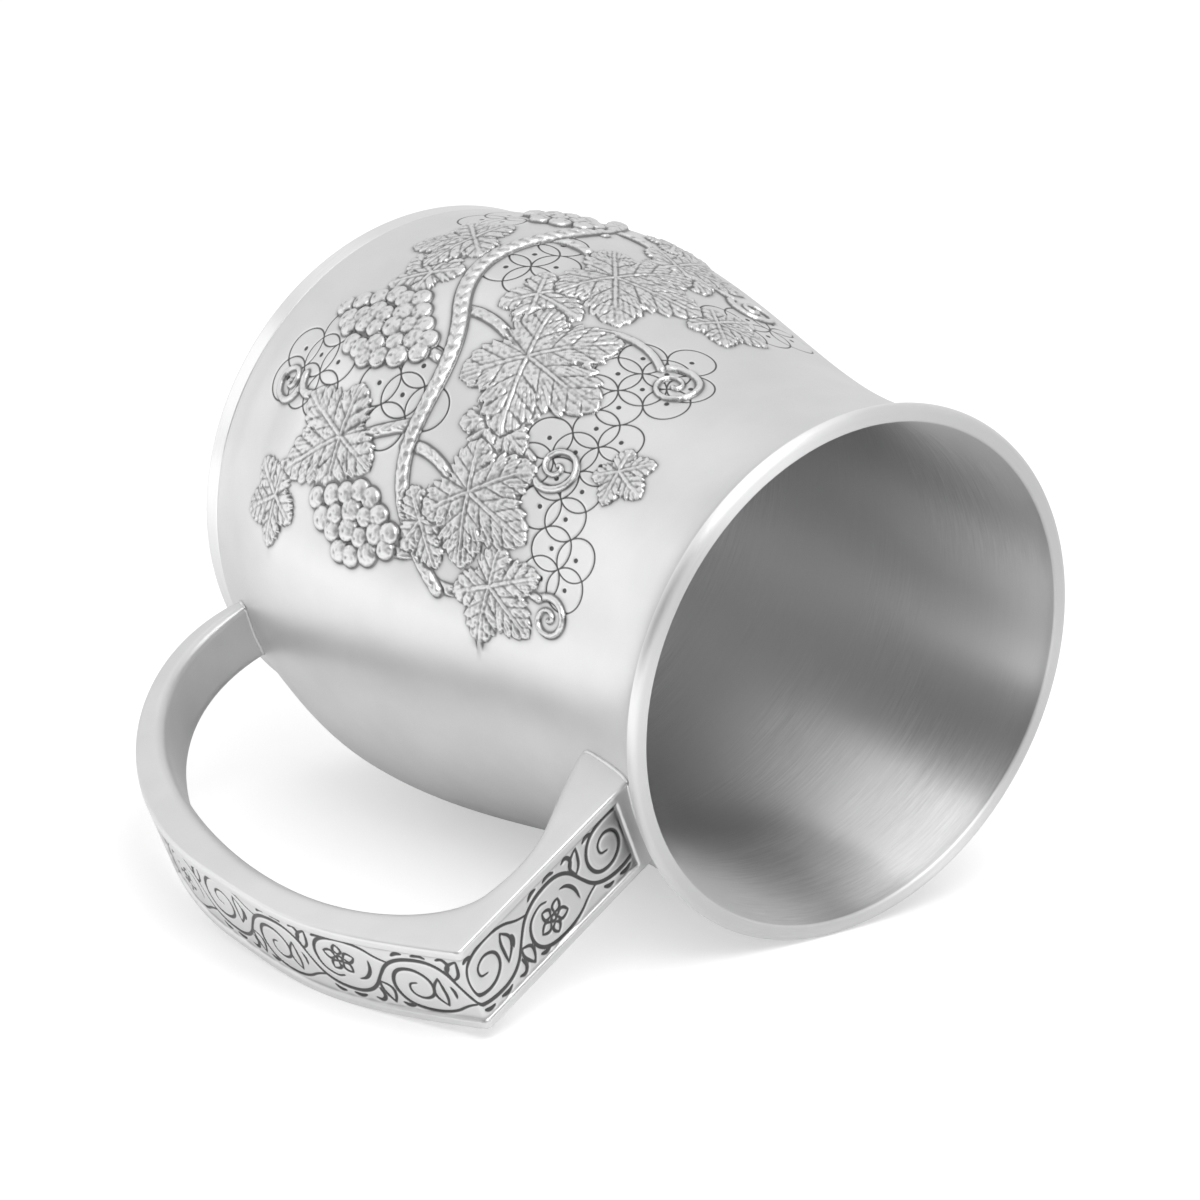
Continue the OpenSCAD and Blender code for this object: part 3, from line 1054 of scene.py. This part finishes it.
half_wave = 13.0
scroll_first = -9.5
scroll_count = 9
stem_line = ((-6.5, 0), (-4.9, 2.6), (-2.6, 3.9), (0.2, 4.0), (2.8, 3.5), (5.0, 2.2), (6.5, 0))
branch_line = ((-9.0, -2.6), (-6.8, -3.2), (-4.4, -4.7), (-0.8, -5.2))
coil_line = (
    (3.2, -4.4), (4.9, -1.4), (3.6, 1.7), (0.4, 2.3), (-2.0, 0.6), (-2.0, -2.0), (0.0, -3.2), (2.0, -2.4),
    (2.0, -0.6), (0.6, -0.3),
)
hook_line = ((3.0, -4.6), (4.9, -2.2), (4.4, 1.0), (1.8, 2.2), (0.4, 1.7))
curl_line = ((-5.2, -2.4), (-5.0, -0.4), (-3.8, 1.2), (-2.4, 1.6))
spur_line = ((-5.3, -2.2), (-5.4, -1.2), (-4.9, 0.0))
dash_lines = (
    ((4.2, -4.5), (3.4, -4.9), (2.4, -4.8)), ((-2.4, 4.6), (-1.4, 5.0), (-0.2, 4.7)),
    ((1.4, 4.8), (2.4, 4.8), (3.2, 4.2)), ((-5.4, 2.6), (-6.0, 4.0), (-5.2, 5.0), (-4.2, 4.6)),
)
flower_x = 0.1
flower_y = -1.4
flower_heart = 0.5
petal_count = 5
petal_turn = 54
petal_begin = 0.75
petal_long = 2.9
petal_wide = 2.6


def scroll(middle, hand, in_bloom):
    """Half a wave of the stem, with a branch in its hollow that ends in a coil or a flower."""
    def path(*spots):
        return flow([(middle + x, hand * y) for x, y in spots])

    def spot(x, y):
        return np.array((middle + x, hand * y))

    stroke(path(*stem_line), half=0.33, thin=0.75)
    stroke(path(*branch_line, *(hook_line if in_bloom else coil_line)), half=0.31)
    if in_bloom:
        for k in range(petal_count):
            angle = radians(360 / petal_count * k + petal_turn)
            begin = spot(flower_x + petal_begin * cos(angle), flower_y + petal_begin * sin(angle))
            tip = spot(flower_x + petal_long * cos(angle), flower_y + petal_wide * sin(angle))
            pointed_leaf(begin, tip, fullness=0.42, bend=0.0, half=0.26)
        heart = arc((flower_x, flower_y), flower_heart, 0, 2 * pi, 14)
        stroke(np.array([spot(*point) for point in heart]), half=0.24, thin=1)
        stroke(path(*curl_line), half=0.32, thin=0.2)
    else:
        pointed_leaf(spot(-3.5, -3.8), spot(-3.3, 1.2), fullness=0.2, bend=0.12, half=0.27)
        stroke(path(*spur_line), half=0.3, thin=0.2)
    pointed_leaf(spot(7.0, -1.2), spot(5.6, -4.8), fullness=0.26, bend=0.1, half=0.28)
    for dash in dash_lines:
        stroke(path(*dash), half=0.34)


for number in range(scroll_count):
    scroll(scroll_first + number * half_wave, 1 if number % 2 else -1, number % 3 == 2)

wall_width = 0.3
ink_margin = 0.4
ink_depth = 0.2
ink_slope = 0.3
edge_gap = panel_half[:, None] - abs(panel_y)
end_gap = np.minimum(panel_x, panel_length - panel_x)
wall_gap = np.minimum(edge_gap, end_gap)
panel_cover = smooth(wall_gap / wall_width)
ink = np.minimum(ink, wall_gap - ink_margin)
panel_sink = (panel_depth + ink_depth * smooth(0.5 + ink / ink_slope)) * panel_cover

# Each cross-section runs round the handle: outer face, one side, inner face, other side.
edge_angles = np.linspace(0, pi / 2, 7)
thick = np.linalg.norm(inner_points - outer_points, axis=1)
inwards = (inner_points - outer_points) / thick[:, None]
inner_curve = np.minimum(inner_round, inner_round_share * thick)
border_shares = np.linspace(0, 1, 5)[1:-1]
side_shares = np.linspace(0, 1, 7)[1:-1]


def section(depth, inset):
    """One line along the handle: how far below the outer face and in from the side it runs."""
    flat = outer_points + depth[:, None] * inwards
    return np.c_[flat[:, 0], half_width(flat[:, 1]) - inset, flat[:, 1]]


zero = np.zeros(len(outer_points))
outer_corner = [
    section(zero + outer_round * (1 - sin(a)), outer_round * (1 - cos(a))) for a in edge_angles
]
border_lines = [
    section(zero, outer_round + (border - outer_round) * share) for share in border_shares
]
side_lines = [
    section(outer_round + (thick - inner_curve - outer_round) * share, 0.0) for share in side_shares
]
inner_corner = [
    section(thick - inner_curve * (1 - sin(a)), inner_curve * (1 - cos(a))) for a in edge_angles
]
half_lines = border_lines[::-1] + outer_corner[::-1] + side_lines + inner_corner
right_half = np.stack(half_lines, axis=1)
left_half = right_half * (1, -1, 1)
panel_flat = outer_points[:, None, :] - panel_sink[..., None] * outer_away[:, None, :]
panel_points = np.stack([panel_flat[..., 0], panel_y, panel_flat[..., 1]], axis=2)
inner_shares = np.linspace(1, -1, 15)[1:-1]
inner_half = half_width(inner_points[:, 1]) - inner_curve
inner_face = np.stack([
    inner_points[:, :1] + 0 * inner_shares, inner_half[:, None] * inner_shares,
    inner_points[:, 1:] + 0 * inner_shares
], axis=2)
loops = np.concatenate([panel_points, right_half, inner_face, left_half[:, ::-1]], axis=1)
loop_engraved = np.full(loops.shape[:2], no_cut)
loop_engraved[:, :panel_count] = -ink
loop_hollow = np.zeros(loops.shape[:2])
# The panel's hollow mark: darker in its sunk and engraved parts, patina with painted shade, and darker
# towards its root end.
root_darkening_length = 8
root_darkening_most = 0.17
root_darkening = root_darkening_most * smooth(1 - panel_x / root_darkening_length) * panel_cover
loop_hollow[:, :panel_count] = panel_sink - spread(panel_sink, 10) + root_darkening

# Both ends are coped to the body: each line along the handle begins and ends where it
# leaves the body, less the thickness of the solder film.
body_outside = profile[:first_lip + 1]
skin_r = np.interp(loops[..., 2], body_outside[:, 1], body_outside[:, 0]) + film
clear_of_body = np.hypot(loops[..., 0], loops[..., 1]) - skin_r
station_count = len(outer_runs)


def crossing(values):
    """Station, in parts, at which a line along the handle comes out of the body."""
    k = int(np.argmax(values > 0))
    return k - values[k] / (values[k] - values[k - 1])


lead_stations = 30
begins = np.array([crossing(clear_of_body[:, k]) for k in range(loops.shape[1])])
ends = station_count - 1 - np.array([crossing(clear_of_body[::-1, k]) for k in range(loops.shape[1])])
free_from = int(begins.max()) + lead_stations
free_to = int(ends.min()) - lead_stations
first_station = int(begins.min())
last_station = int(ends.max()) + 1
stations = np.arange(first_station, last_station + 1)[:, None] + 0 * begins
lead_in = np.clip((free_from - stations) / (free_from - first_station), 0, 1)
lead_out = np.clip((stations - free_to) / (last_station - free_to), 0, 1)
stations = np.where(stations < free_from, free_from - (free_from - begins) * lead_in, stations)
stations = np.where(stations > free_to, free_to + (ends - free_to) * lead_out, stations)
lower = np.clip(stations.astype(int), 0, station_count - 2)
between = stations - lower
lines = np.arange(loops.shape[1])[None, :]


def coped(values):
    """Values on the cross-sections, read again at the coped stations."""
    share = between[..., None] if values.ndim == 3 else between
    return values[lower, lines] * (1 - share) + values[lower + 1, lines] * share


handle_points = coped(loops)
handle = grid_piece("cast_handle", handle_points, False, True, {
    "engraved": coped(loop_engraved), "hollow": coped(loop_hollow),
})
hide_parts("handle")
handle.data.materials.append(cast_pewter)

# Solder at the handle: a bright bead round the root and another round the lower end, run
# in while hot and left as a fine raised seam.
bead_r = 0.28
bead_step = 0.3
bead_sides = 12
bead_easing = 6
bead_swell = 0.08


def bead(name, node, loop):
    """A round bead along a closed loop on the body, eased round its corners."""
    loop = np.vstack([loop, loop[:1]])
    before = run_of(loop)
    runs = np.linspace(0, before[-1], int(before[-1] / bead_step), endpoint=False)
    middle = np.stack([np.interp(runs, before, loop[:, k]) for k in range(3)], axis=1)
    for _ in range(bead_easing):
        middle = (np.roll(middle, 1, axis=0) + middle + np.roll(middle, -1, axis=0)) / 3
    ahead = np.roll(middle, -1, axis=0) - np.roll(middle, 1, axis=0)
    ahead /= np.linalg.norm(ahead, axis=1)[:, None]
    away = middle * (1, 1, 0)
    away /= np.linalg.norm(away, axis=1)[:, None]
    over = np.cross(ahead, away)
    over /= np.linalg.norm(over, axis=1)[:, None]
    away = np.cross(over, ahead)
    angle = np.linspace(0, 2 * pi, bead_sides, endpoint=False)[:, None]
    swell = bead_r * (1 + bead_swell * np.sin(runs * 0.9))[:, None, None]
    tube = middle[:, None] + swell * (np.cos(angle) * away[:, None] + np.sin(angle) * over[:, None])
    piece = grid_piece(name, tube, True, True, {})
    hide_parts(node)
    piece.data.materials.append(bright_solder)


bead("upper_solder_bead", "upper_solder", handle_points[0])
bead("lower_solder_bead", "lower_solder", handle_points[-1])
